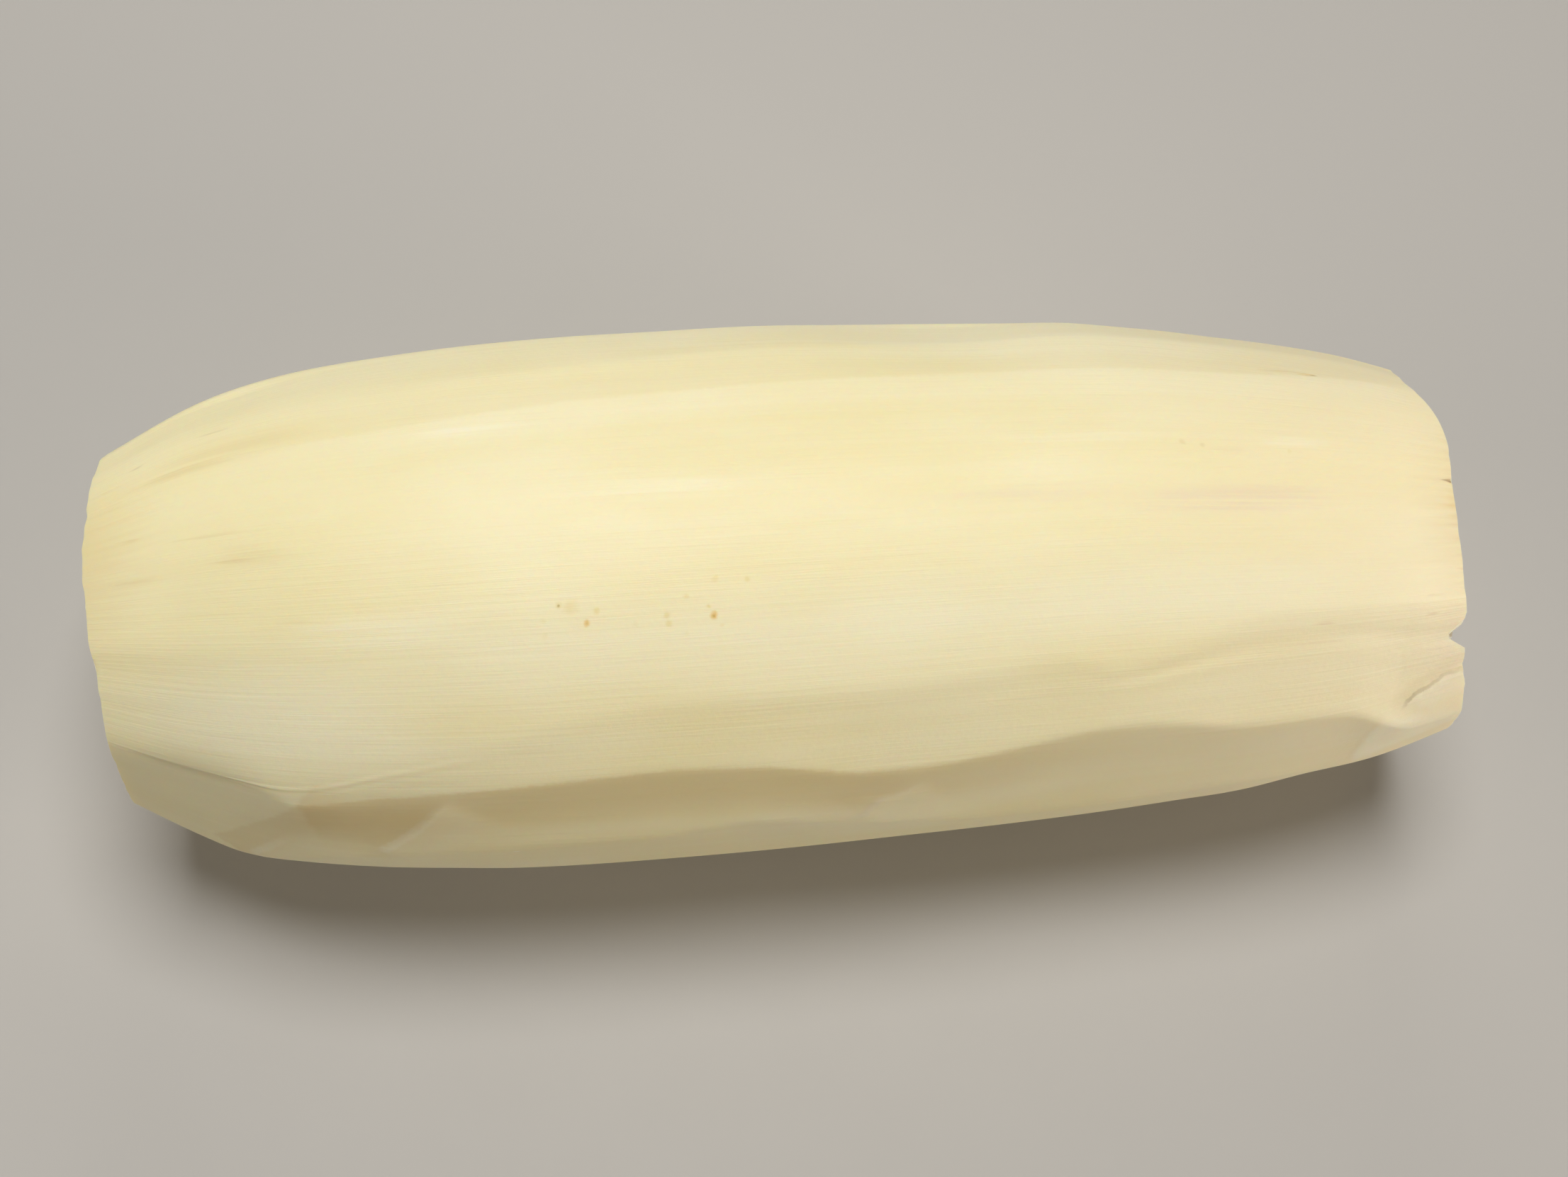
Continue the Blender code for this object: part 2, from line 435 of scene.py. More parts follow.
def peeled(station):
    """Section angle and radius of the skin, for an array of stations with a column for each."""
    ridges = np.stack([along(ridge, station) for ridge, _ in STROKES], 0)
    ridges = np.concatenate([ridges, ridges[:1] + 360.0], 0)
    column = np.arange(COLUMNS)
    flatness = np.array([flat for _, flat in STROKES])[stroke_of]
    if station.ndim == 1:
        first = ridges[stroke_of, column]
        last = ridges[stroke_of + 1, column]
    else:
        ring = np.arange(len(station))[:, None]
        first = ridges[stroke_of, ring, column]
        last = ridges[stroke_of + 1, ring, column]
    angle = first + (last - first) * share_of
    half = np.radians(last - first) / 2
    flatness = np.minimum(flatness, DEEPEST_STROKE / (1 - np.cos(half)))
    chord = np.cos(half) / np.cos(np.radians(angle) - np.radians(first) - half)
    radius = along(GIRTH, station) * (1 - flatness * (1 - chord))
    planed = np.minimum(radius, end_stroke_radius(station, angle))
    radius = np.where(stroke_of >= FIRST_PLANED_STROKE, planed, radius)
    for middle, width, line in UNEVEN:
        radius = radius + along(line, station) * sloping(1 - np.abs(angle - middle) / width)
    return angle, radius


def rim_of(cut):
    """Station where each column meets an end cut."""
    crossing, slope = cut
    station = np.full(COLUMNS, crossing)
    for _ in range(CUT_STEPS):
        angle, radius = peeled(station)
        station = crossing + slope * np.maximum(radius * np.sin(np.radians(angle)), -AXIS_HEIGHT)
    return station, angle, radius


def chipped(angle, radius, rim_gap=0.0):
    """How far the chips take the right rim back, for points at a distance inside it."""
    depth = np.zeros(np.shape(angle))
    for place, deep, above, below in CHIPS:
        arc = np.radians(angle - place - CHIP_LEAN * rim_gap) * radius
        width = np.where(arc < 0, above, below)
        depth = np.maximum(depth, deep * np.clip(1 - np.abs(arc) / width, 0, 1))
    return depth


def swerve(line, angle):
    """How far a rim stands out at a section angle."""
    return along(line, (angle - SWERVE_START) % 360 + SWERVE_START)


def rounded(heights, reach):
    """Heights averaged over some degrees to each side, the nearest counting most."""
    spacing = (np.roll(angles, -1, 1) - np.roll(angles, 1, 1)) % 360
    total = np.zeros(heights.shape)
    weights = np.zeros(heights.shape)
    for shift in range(-ROUNDING_COLUMNS, ROUNDING_COLUMNS + 1):
        gap = np.abs((np.roll(angles, shift, 1) - angles + 180) % 360 - 180)
        weight = np.maximum(1 - gap / reach, 0) * np.roll(spacing, shift, 1)
        total += weight * np.roll(heights, shift, 1)
        weights += weight
    return total / weights


def beside_line(line, start_fade, end_fade):
    """How far points of the skin lie to the right of a line, its share and its fading there."""
    middle = float(np.mean([angle for _, angle in line]))
    radius = float(along(GIRTH, np.mean([place for place, _ in line])))
    points = np.array([(place, math.radians(angle - middle) * radius) for place, angle in line])
    skin_place = np.stack([stations, np.radians(angles - middle) * radius], -1)
    lengths = np.linalg.norm(points[1:] - points[:-1], axis=1)
    nearest = np.full(stations.shape, 1e9)
    beside = np.zeros(stations.shape)
    share = np.zeros(stations.shape)
    passed = 0.0
    for start, end, length in zip(points[:-1], points[1:], lengths):
        onward = (end - start) / length
        offset = skin_place - start
        t = np.clip(offset @ onward, 0, length)
        gap = np.linalg.norm(offset - t[..., None] * onward, axis=-1)
        side = np.sign(onward[0] * offset[..., 1] - onward[1] * offset[..., 0])
        closer = gap < nearest
        beside = np.where(closer, gap * side, beside)
        share = np.where(closer, (passed + t) / lengths.sum(), share)
        nearest = np.minimum(nearest, gap)
        passed += length
    place = share * lengths.sum()
    starting = sloping(place / max(start_fade, 0.01))
    ending = sloping((lengths.sum() - place) / end_fade if end_fade else 1.0)
    return beside, share, starting * ending


left_rim, left_angle, _ = rim_of(LEFT_CUT)
right_rim, right_angle, right_radius = rim_of(RIGHT_CUT)
zero = np.zeros(COLUMNS)
left_fray, right_fray = (
    sum(depth * unevenness(angle / 360, zero, waves, 1) for waves, depth in RIM_FRAYS)
    for angle in (left_angle, right_angle)
)
steps = np.linspace(0, 1, RINGS)[:, None]
shares = steps - END_CROWDING * np.sin(math.tau * steps) / math.tau
left_edge = left_rim + left_fray - swerve(LEFT_SWERVE, left_angle)
right_edge = right_rim + right_fray + swerve(RIGHT_SWERVE, right_angle)
right_edge = right_edge - chipped(right_angle, right_radius)
stations = left_edge + (right_edge - left_edge) * shares
angles, radii = peeled(stations)
wear = np.array(WEAR + WEAR[:1])
wear = wear[stroke_of] * (1 - share_of) + wear[stroke_of + 1] * share_of
for middle, width, start, end in WORN_ENDS:
    worn = sloping((1 - np.abs(angles - middle) / width) * 2)
    wear = np.maximum(wear, worn * sloping((stations - start) / (end - start)))
radii = rounded(radii, CRISP_ROUNDING) * (1 - wear) + rounded(radii, WORN_ROUNDING) * wear
for around, lengthwise, height in WOBBLES:
    radii = radii + height * unevenness(angles / 360, shares, around, lengthwise)

seam_fields = []
for name, line, height, reach, start_fade, end_fade in SEAMS:
    beside, share, fading = beside_line(line, start_fade, end_fade)
    step = sloping(beside / STEP_WIDTH + 0.5) * np.exp(-np.maximum(beside, 0) / reach)
    radii = radii + height * step * fading
    seam_fields.append(np.stack([beside, share, fading], -1).reshape(-1, 3))

skin = from_axis(stations, angles, radii)
skin[..., 2] = np.maximum(skin[..., 2], -AXIS_HEIGHT)

# Air canals
# Tubes in the flesh that carry air along the living root, drop-shaped, wider outside, open
# where the knife cut through them: nine in a ring, a thin one in the middle and two fine ones.

# Each is section angle, distance from the axis, half height and half width, as shares of girth.
CANALS = [
    (71, 0.56, 0.15, 0.10),
    (106, 0.55, 0.14, 0.105),
    (146, 0.54, 0.21, 0.15),
    (188, 0.53, 0.22, 0.16),
    (231, 0.54, 0.20, 0.155),
    (272, 0.52, 0.22, 0.15),
    (313, 0.53, 0.20, 0.16),
    (355, 0.53, 0.22, 0.15),
    (34, 0.54, 0.20, 0.145),
    (90, 0.03, 0.085, 0.075),
    (126, 0.75, 0.04, 0.04),
    (52, 0.76, 0.04, 0.04),
]
CANAL_FLARE = 0.28
CANAL_NARROWING = 0.6
CANAL_SIDES = 24
CANAL_RINGS = 24


def canal_wall(canal, station):
    """Points round a canal, for an array of stations with a corner for each."""
    place, distance, half_height, half_width = canal
    corner = math.tau * np.arange(CANAL_SIDES) / CANAL_SIDES
    girth = along(GIRTH, station)
    size = girth * (girth / along(GIRTH, 0.0)) ** CANAL_NARROWING
    out = distance * girth + half_height * size * np.cos(corner)
    aside = half_width * (1 + CANAL_FLARE * np.cos(corner)) * size * np.sin(corner)
    turn = math.radians(place)
    side = along(BEND, station) + out * math.cos(turn) - aside * math.sin(turn)
    return np.stack([station, side, out * math.sin(turn) + aside * math.cos(turn)], -1)


def canal_tube(canal):
    """A canal from cut to cut."""
    ends = []
    for crossing, slope in (LEFT_CUT, RIGHT_CUT):
        station = np.full(CANAL_SIDES, crossing)
        for _ in range(CUT_STEPS):
            station = crossing + slope * canal_wall(canal, station)[..., 2]
        ends.append(station)
    share = np.linspace(0, 1, CANAL_RINGS)[:, None]
    return canal_wall(canal, ends[0] + (ends[1] - ends[0]) * share)


canals = [canal_tube(canal) for canal in CANALS]

# Cut faces
# A knife went straight across each end. The flesh there is flat and pale, with the mouths
# of the canals in it, and it follows the chips of the rim a little way in.
FACE_SPACING = 0.95
FACE_CLEARANCE = 0.45
# The knife's swerve dies out over this outermost share of the way to the rim
SWERVE_SHARE = 0.25
KNIFE_WAVE = 0.05
KNIFE_WAVES_ROUND = 9
KNIFE_WAVES_OUTWARD = 5

vertices = [skin.reshape(-1, 3)]
faces = []
finishes = []
SKIN, CUT, CANAL = 0, 1, 2


def tube_faces(rings, columns, first):
    """Quads between the rings of a tube whose vertices start at first."""
    ring, column = np.meshgrid(np.arange(rings - 1), np.arange(columns), indexing="ij")
    onward = (column + 1) % columns
    corners = [ring * columns + column, ring * columns + onward]
    corners += [(ring + 1) * columns + onward, (ring + 1) * columns + column]
    return (np.stack(corners, -1).reshape(-1, 4) + first).tolist()


def inside(points, loop):
    """Which points lie inside a closed loop."""
    a = loop
    b = np.roll(loop, -1, 0)
    y = points[:, 1][:, None]
    straddles = (a[:, 1] > y) != (b[:, 1] > y)
    rise = np.where(b[:, 1] == a[:, 1], 1e-9, b[:, 1] - a[:, 1])
    crossing = a[:, 0] + (y - a[:, 1]) / rise * (b[:, 0] - a[:, 0])
    return (straddles & (points[:, 0][:, None] < crossing)).sum(1) % 2 == 1


def cut_face(loops, cut, facing):
    """Triangles over a cut that faces -1 or 1 along the root, inside its rim and canal mouths."""
    crossing, slope = cut
    known = np.concatenate(vertices)
    outlines = [known[loop][:, 1:] for loop in loops]
    low = outlines[0].min(0)
    high = outlines[0].max(0)
    across = np.arange(low[0], high[0], FACE_SPACING)
    upward = np.arange(low[1], high[1], FACE_SPACING * math.sqrt(3) / 2)
    grid = np.stack(np.meshgrid(across, upward), -1)
    grid[1::2, :, 0] += FACE_SPACING / 2
    points = grid.reshape(-1, 2)
    keep = inside(points, outlines[0])
    for outline in outlines[1:]:
        keep &= ~inside(points, outline)
    border = np.concatenate(outlines)
    gaps = np.linalg.norm(points[:, None] - border[None], axis=2).min(1)
    points = points[keep & (gaps > FACE_CLEARANCE)]
    station = crossing + slope * points[:, 1]
    angle = np.degrees(np.arctan2(points[:, 1], points[:, 0])) % 360
    radius = np.linalg.norm(points, axis=1)
    rim_gap = np.linalg.norm(points[:, None] - outlines[0][None], axis=2).min(1)
    edge = sloping((radius / (radius + rim_gap) - 1) / SWERVE_SHARE + 1)
    if facing > 0:
        station = station + swerve(RIGHT_SWERVE, angle) * edge
        running_out = sloping((CHIP_WALL - rim_gap) / CHIP_RUN_OUT)
        station = station - chipped(angle, radius, rim_gap) * running_out
    else:
        station = station - swerve(LEFT_SWERVE, angle) * edge
    wave = unevenness(angle / 360, radius / FULL_GIRTH, KNIFE_WAVES_ROUND, KNIFE_WAVES_OUTWARD)
    station = station + KNIFE_WAVE * wave
    first = len(known)
    vertices.append(np.column_stack([station, points]))
    numbers = np.concatenate([np.concatenate(loops), first + np.arange(len(points))])
    flat = [Vector(p) for p in np.concatenate([border, points])]
    bounds = []
    start = 0
    for loop in loops:
        count = len(loop)
        bounds += [(start + k, start + (k + 1) % count) for k in range(count)]
        start += count
    _, _, triangles, origins, _, _ = delaunay_2d_cdt(flat, bounds, [], 0, 1e-7)
    source = np.array([origin[0] for origin in origins])
    triangles = source[np.array(triangles)]
    middles = np.concatenate([border, points])[triangles].mean(1)
    keep = inside(middles, outlines[0])
    for outline in outlines[1:]:
        keep &= ~inside(middles, outline)
    return numbers[triangles[keep]].tolist()


skin_count = RINGS * COLUMNS
faces += tube_faces(RINGS, COLUMNS, 0)
finishes += [SKIN] * len(faces)
left_loops = [np.arange(COLUMNS)]
right_loops = [np.arange(COLUMNS) + (RINGS - 1) * COLUMNS]
for tube in canals:
    first = sum(len(group) for group in vertices)
    vertices.append(tube.reshape(-1, 3))
    wall = tube_faces(CANAL_RINGS, CANAL_SIDES, first)
    faces += [quad[::-1] for quad in wall]
    finishes += [CANAL] * len(wall)
    left_loops.append(first + np.arange(CANAL_SIDES))
    right_loops.append(first + (CANAL_RINGS - 1) * CANAL_SIDES + np.arange(CANAL_SIDES))
for loops, cut, facing in ((left_loops, LEFT_CUT, -1), (right_loops, RIGHT_CUT, 1)):
    flesh = cut_face(loops, cut, facing)
    known = np.concatenate(vertices)
    a, b, c = (known[np.array(flesh)[:, k]] for k in range(3))
    turned = np.cross(b - a, c - a)[:, 0] * facing < 0
    faces += [face[::-1] if flip else face for face, flip in zip(flesh, turned)]
    finishes += [CUT] * len(flesh)

# The root's mesh
# Skin, canals and cut faces are one closed surface, because the root grew as one piece.
# It stands on its flat underside, with its right end where the solid of the same root ends.
SHARP_ANGLE = 38.0
FAR_FROM_SEAMS = 99.0

known = np.concatenate(vertices)
cad_low, cad_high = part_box("lotus_root")
middle = (known.min(0) + known.max(0)) / 2
middle[0] = known[:, 0].max() - (cad_high.x - cad_low.x) / 2 / MM
middle[2] = known[:, 2].min()
cad_middle = np.array([(cad_low.x + cad_high.x) / 2, (cad_low.y + cad_high.y) / 2, cad_low.z])
shape = bpy.data.meshes.new("peeled_root")
shape.from_pydata(((known - middle) * MM + cad_middle).tolist(), [], faces)
shape.polygons.foreach_set("material_index", finishes)
shape.shade_smooth()
shape.set_sharp_from_angle(angle=math.radians(SHARP_ANGLE))
root = bpy.data.objects.new("peeled_root", shape)
bpy.context.scene.collection.objects.link(root)

# Each vertex keeps its place on the root as it would be with the girth even: station, and
# the direction out of the axis at the full girth. The fibres of the flesh follow these lines.
turn = np.arctan2(known[:, 2], known[:, 1] - along(BEND, known[:, 0]))
turn[:skin_count] = np.radians(angles.reshape(-1))
grain = np.stack([known[:, 0], FULL_GIRTH * np.cos(turn), FULL_GIRTH * np.sin(turn)], -1)
lines = shape.attributes.new("grain", "FLOAT_VECTOR", "POINT")
lines.data.foreach_set("vector", grain.astype(np.float32).reshape(-1))
# The skin also keeps how far each point lies beside each seam, its share and its strength
for (name, *_), field in zip(SEAMS, seam_fields):
    values = np.zeros((len(known), 3), np.float32)
    values[:, 0] = FAR_FROM_SEAMS
    values[:skin_count] = field
    kept = shape.attributes.new("seam_" + name, "FLOAT_VECTOR", "POINT")
    kept.data.foreach_set("vector", values.reshape(-1))

# Peeled flesh
# Cream, moist and a little see-through, with pale fibres lengthwise. It is yellower and
# greener toward the left end, pinker toward the right cut, and has small rusty specks. Some
# of its tints are painted shade, on the near side below the ridges and beside steps, and
# painted light, along ridges and steps and on the strokes above the near-side ridges.
CREAM = (0.885, 0.805, 0.530, 1)
PALE = (0.930, 0.880, 0.680, 1)
YELLOW = (0.855, 0.760, 0.445, 1)
GREENISH = (0.780, 0.720, 0.410, 1)
PEACH = (0.865, 0.745, 0.530, 1)
ROSY = (0.800, 0.700, 0.560, 1)
OCHRE = (0.640, 0.470, 0.190, 1)
PINK_BROWN = (0.620, 0.400, 0.250, 1)
TAN = (0.700, 0.580, 0.330, 1)
DARK_RUST = (0.200, 0.095, 0.035, 1)
GREY_BROWN = (0.520, 0.430, 0.250, 1)
MAUVE = (0.790, 0.650, 0.470, 1)
SPECK_YELLOW = (0.790, 0.660, 0.290, 1)
SPECK_ORANGE = (0.770, 0.530, 0.160, 1)
SPECK_DARK = (0.380, 0.260, 0.080, 1)
# Specks of rust: station, section angle, radius, colour, strength
SPECKS = [
    (-28.4, 113.3, 0.55, SPECK_YELLOW, 0.60),
    (-28.4, 113.3, 0.24, SPECK_DARK, 0.60),
    (-27.1, 113.8, 1.25, SPECK_YELLOW, 0.40),
    (-25.4, 117.1, 0.60, SPECK_ORANGE, 0.70),
    (-25.4, 117.1, 0.22, SPECK_DARK, 0.12),
    (-24.2, 114.7, 0.55, SPECK_YELLOW, 0.60),
    (-16.3, 116.6, 0.60, SPECK_YELLOW, 0.60),
    (-16.1, 118.2, 0.55, SPECK_YELLOW, 0.55),
    (-14.0, 113.0, 0.50, SPECK_ORANGE, 0.30),
    (-14.2, 120.3, 0.40, SPECK_YELLOW, 0.20),
    (-11.6, 115.1, 0.40, SPECK_YELLOW, 0.70),
    (-11.0, 117.0, 0.65, SPECK_ORANGE, 0.90),
    (-11.0, 117.0, 0.26, SPECK_DARK, 0.35),
    (-10.1, 119.2, 0.35, SPECK_YELLOW, 0.35),
    (-10.7, 110.0, 0.55, SPECK_YELLOW, 0.45),
    (-7.1, 110.4, 0.55, SPECK_YELLOW, 0.55),
    (-19.8, 117.8, 0.50, SPECK_YELLOW, 0.15),
    (-30.0, 119.0, 0.50, SPECK_YELLOW, 0.20),
    (-30.2, 116.0, 0.50, SPECK_YELLOW, 0.20),
    (46.0, 84.6, 0.60, TAN, 0.40),
    (48.4, 85.2, 0.55, TAN, 0.40),
    (59.3, 85.8, 0.45, SPECK_YELLOW, 0.35),
]
# Longer marks: station, section angle, half length, half width, slant, colour, strength
STREAKS = [
    # Left end
    (-76.0, 64.0, 1.1, 0.36, 0, GREY_BROWN, 0.60),
    (-67.1, 62.2, 2.8, 0.45, 0, GREY_BROWN, 0.30),
    (-70.5, 73.1, 8.5, 1.10, 0, OCHRE, 0.28),
    (-65.0, 70.0, 13.0, 3.60, 0, OCHRE, 0.22),
    (-76.7, 89.6, 1.8, 0.50, 0, OCHRE, 0.35),
    (-66.0, 92.8, 8.0, 0.45, -2, OCHRE, 0.22),
    (-62.4, 98.9, 6.5, 2.00, -4, OCHRE, 0.20),
    (-64.0, 99.6, 4.0, 0.50, -4, OCHRE, 0.25),
    (-75.7, 101.2, 5.0, 0.80, 0, OCHRE, 0.28),
    (-68.0, 111.5, 7.5, 0.50, 0, OCHRE, 0.20),
    (-57.2, 113.7, 4.0, 0.40, 0, OCHRE, 0.16),
    # Pale strips along the ridges, painted highlights where the ridges catch the light
    (-18.0, 90.3, 15.0, 2.60, -3, PALE, 0.40),
    (-37.5, 74.3, 9.0, 1.60, 0, PALE, 0.50),
    (-48.0, 116.5, 15.0, 3.00, 0, PALE, 0.40),
    (36.0, 83.6, 15.0, 1.20, 0, PALE, 0.30),
    (60.0, 83.6, 6.0, 1.20, 4, PALE, 0.35),
    # Right end
    (62.0, 58.4, 4.5, 0.36, 0, OCHRE, 0.35),
    (65.2, 58.8, 1.5, 0.50, 0, SPECK_ORANGE, 0.60),
    (66.1, 59.0, 0.55, 0.24, 0, SPECK_DARK, 0.90),
    (52.5, 85.9, 3.0, 0.32, 0, TAN, 0.30),
    (52.0, 98.0, 18.0, 2.80, 2, MAUVE, 0.60),
    (26.0, 96.0, 16.0, 1.60, 0, MAUVE, 0.30),
    (81.3, 91.4, 1.2, 0.50, 0, DARK_RUST, 0.95),
    (76.9, 123.1, 1.8, 0.36, -6, PINK_BROWN, 0.45),
    (76.7, 128.3, 1.3, 0.32, 0, PINK_BROWN, 0.35),
    (80.1, 116.5, 1.2, 0.30, 0, PINK_BROWN, 0.40),
    (61.7, 127.1, 2.2, 0.36, 0, PINK_BROWN, 0.30),
    (61.6, 132.5, 5.0, 0.50, -4, PINK_BROWN, 0.15),
    (-33.8, 176.5, 0.6, 0.40, 0, PALE, 0.90),
]
# Tinted edges and bands, some of them painted shade and painted light: station, section angle,
# half length, half width, colour, strength
EDGE_TINTS = [
    (85.0, 104.0, 12.0, 28.0, TAN, 0.50),
    (85.0, 100.0, 6.0, 24.0, PINK_BROWN, 0.45),
    (83.0, 97.0, 5.0, 4.5, SPECK_ORANGE, 0.30),
    (84.0, 140.0, 9.0, 13.0, ROSY, 0.45),
    (-84.0, 93.0, 12.0, 24.0, OCHRE, 0.32),
    (11.0, 119.5, 14.0, 7.0, PALE, 0.30),
    # Painted shade on the near side toward the left end, where the skin turns away from the light
    (-50.0, 166.0, 14.0, 9.0, OCHRE, 0.40),
    # Painted light: pale bands on the strokes just above the near-side ridges
    (-15.0, 122.5, 62.0, 9.0, PALE, 0.35),
    (42.0, 119.0, 44.0, 9.0, PALE, 0.45),
    (-60.0, 136.0, 26.0, 11.0, PALE, 0.50),
    (84.0, 150.0, 2.0, 1.2, DARK_RUST, 0.60),
]
# What each seam looks like: its name, then colour, strength and width of the tint to its
# left, of the tint to its right, and of its lip
SEAM_TINTS = [
    # Pale to the right of the worn ridge: a painted highlight along it
    ("worn_ridge", TAN, 0.10, 6.0, PALE, 0.20, 6.0, PALE, 0.0, 1.0),
    # Ochre to the right of the near-side ridge: painted shade where the skin turns away from the
    # light
    ("near_ridge", PALE, 0.0, 1.0, OCHRE, 0.40, 11.0, PALE, 0.0, 1.0),
    # Ochre to the right of the end stroke's edge: painted shade on the facet beside it
    ("end_edge", PALE, 0.0, 1.0, OCHRE, 0.30, 7.0, PALE, 0.0, 1.0),
    # Pale lip: a painted highlight along the step
    ("second", PALE, 0.0, 1.0, CREAM, 0.20, 3.0, PALE, 0.45, 0.8),
    # Ochre to the left: painted shade beside the step; pale lip: a painted highlight along it
    ("left", OCHRE, 0.10, 4.0, CREAM, 0.50, 9.0, PALE, 0.40, 0.9),
    # Ochre to the left: painted shade beside the step
    ("middle", OCHRE, 0.12, 8.0, CREAM, 0.40, 12.0, ROSY, 0.35, 0.8),
    ("right", PALE, 0.0, 1.0, PALE, 0.55, 30.0, PALE, 0.20, 0.6),
    # Tan to the left: painted shade where the skin dips into the crack; pale to the right: painted
    # light on the raised flap; grey-brown lip: painted shade in the crack itself
    ("crack", TAN, 0.25, 3.0, PALE, 0.35, 6.0, GREY_BROWN, 0.75, 0.50),
]
# A seam's line is torn by up to half of this, and its tints meet over twice the blur. A tint
# or a lip is at full strength over its core, and a lip loses most of it toward its far end.
SEAM_TEAR = 0.8
TINT_BLUR = 0.4
TINT_CORE = 0.4
LIP_CORE = 0.3
LIP_LOSS = 0.8


class Wire:
    """An output in a shader's nodes, on which arithmetic adds Math nodes."""

    def __init__(self, tree, socket=None):
        self.tree = tree
        self.socket = socket

    def node(self, kind, settings=None, sockets=None, output=0):
        """Adds any node: its settings first, then the values or wires of its sockets."""
        made = self.tree.nodes.new(kind)
        for name, value in (settings or {}).items():
            if name == "stops":
                ramp = made.color_ramp
                while len(ramp.elements) < len(value):
                    ramp.elements.new(0.5)
                for element, (place, color) in zip(ramp.elements, value):
                    element.position = place
                    element.color = color
            else:
                setattr(made, name, value)
        for name, value in (sockets or {}).items():
            if isinstance(value, Wire):
                self.tree.links.new(value.socket, made.inputs[name])
            else:
                made.inputs[name].default_value = value
        return Wire(self.tree, made.outputs[output])

    def math(self, operation, *values):
        return self.node("ShaderNodeMath", {"operation": operation}, dict(enumerate(values)))

    def __add__(self, other):
        return self.math("ADD", self, other)

    def __sub__(self, other):
        return self.math("SUBTRACT", self, other)

    def __mul__(self, other):
        return self.math("MULTIPLY", self, other)

    __radd__ = __add__
    __rmul__ = __mul__

    def __rsub__(self, other):
        return self.math("SUBTRACT", other, self)

    def between(self, low, high):
        """Rises smoothly from 0 at low to 1 at high."""
        settings = {"interpolation_type": "SMOOTHSTEP"}
        sockets = {"Value": self, "From Min": low, "From Max": high}
        return self.node("ShaderNodeMapRange", settings, sockets)

    def mix(self, start, end):
        """Colour between start and end, by this amount."""
        return self.node("ShaderNodeMix", {"data_type": "RGBA"}, {0: self, 6: start, 7: end}, 2)

    def stretched(self, along, across):
        """A vector scaled lengthwise and, by another amount, across the root."""
        scale = (along, across, across)
        return self.node("ShaderNodeVectorMath", {"operation": "MULTIPLY"}, {0: self, 1: scale})

    def noise(self, detail=2.0, rough=0.5, scale=1.0):
        sockets = {"Vector": self, "Scale": scale, "Detail": detail, "Roughness": rough}
        return self.node("ShaderNodeTexNoise", {}, sockets)

    def parts(self, count):
        """The first wires of a vector."""
        return [self.node("ShaderNodeSeparateXYZ", {}, {0: self}, k) for k in range(count)]

    def pushed(self, along, across, push_along, push_across):
        """The same places moved about at random, so that marks get the edges of torn fibres."""
        sockets = {"Vector": self.stretched(along, across), "Scale": 1.0, "Detail": 3.0}
        noise = self.node("ShaderNodeTexNoise", {}, sockets, 1)
        settings = {"operation": "SUBTRACT"}
        centred = self.node("ShaderNodeVectorMath", settings, {0: noise, 1: (0.5, 0.5, 0.5)})
        amount = (push_along, push_across, push_across)
        settings = {"operation": "MULTIPLY_ADD"}
        return self.node("ShaderNodeVectorMath", settings, {0: centred, 1: amount, 2: self})

    def spot(self, station, angle, length, width, slant=0.0):
        """A soft-edged oval mark on the skin, 1 in its middle."""
        turned = Matrix.Rotation(math.radians(angle - 90), 3, "X")
        turned = turned @ Matrix.Rotation(math.radians(slant), 3, "Z")
        turn = math.radians(angle)
        place = (station, FULL_GIRTH * math.cos(turn), FULL_GIRTH * math.sin(turn))
        sockets = {"Vector": self, "Location": place, "Rotation": turned.to_euler("XYZ")}
        sockets["Scale"] = (length, width, max(length, width) * 2)
        local = self.node("ShaderNodeMapping", {"vector_type": "TEXTURE"}, sockets)
        away = local.node("ShaderNodeVectorMath", {"operation": "LENGTH"}, {0: local}, 1)
        return 1 - away.between(0.15, 1.0)


def new_finish(name):
    """An empty material with its Principled shader, and a wire to build from."""
    material = bpy.data.materials.new(name)
    material.use_nodes = True
    shader = material.node_tree.nodes["Principled BSDF"]
    return material, shader, Wire(material.node_tree)


def feed(shader, name, wire):
    shader.id_data.links.new(wire.socket, shader.inputs[name])


def moist(shader):
    """What all the flesh shares: light goes a little way in, and a thin film of juice shines."""
    shader.inputs["Subsurface Weight"].default_value = 0.50
    shader.inputs["Subsurface Radius"].default_value = (1.0, 0.55, 0.22)
    shader.inputs["Subsurface Scale"].default_value = 0.0030
    shader.inputs["IOR"].default_value = 1.40
    shader.inputs["Coat Roughness"].default_value = 0.42
    shader.inputs["Coat IOR"].default_value = 1.33


peeled_flesh, shader, start = new_finish("peeled_flesh")
moist(shader)
grain_lines = start.node("ShaderNodeAttribute", {"attribute_name": "grain"}, output=1)
station, *_ = grain_lines.parts(1)
torn = grain_lines.pushed(0.09, 0.9, 7.0, 1.6)
crumbled = grain_lines.pushed(0.9, 0.9, 0.7, 0.7)
patches = grain_lines.stretched(0.022, 0.055).noise(3, 0.5)
bands = grain_lines.stretched(0.010, 0.30).noise(3, 0.55)
fibres = grain_lines.stretched(0.030, 1.5).noise(3, 0.6)
hairs = grain_lines.stretched(0.12, 5.5).noise(2, 0.6)
mottle = grain_lines.noise(4, 0.6, 1.1)

color = patches.between(0.35, 0.68).mix(YELLOW, CREAM)
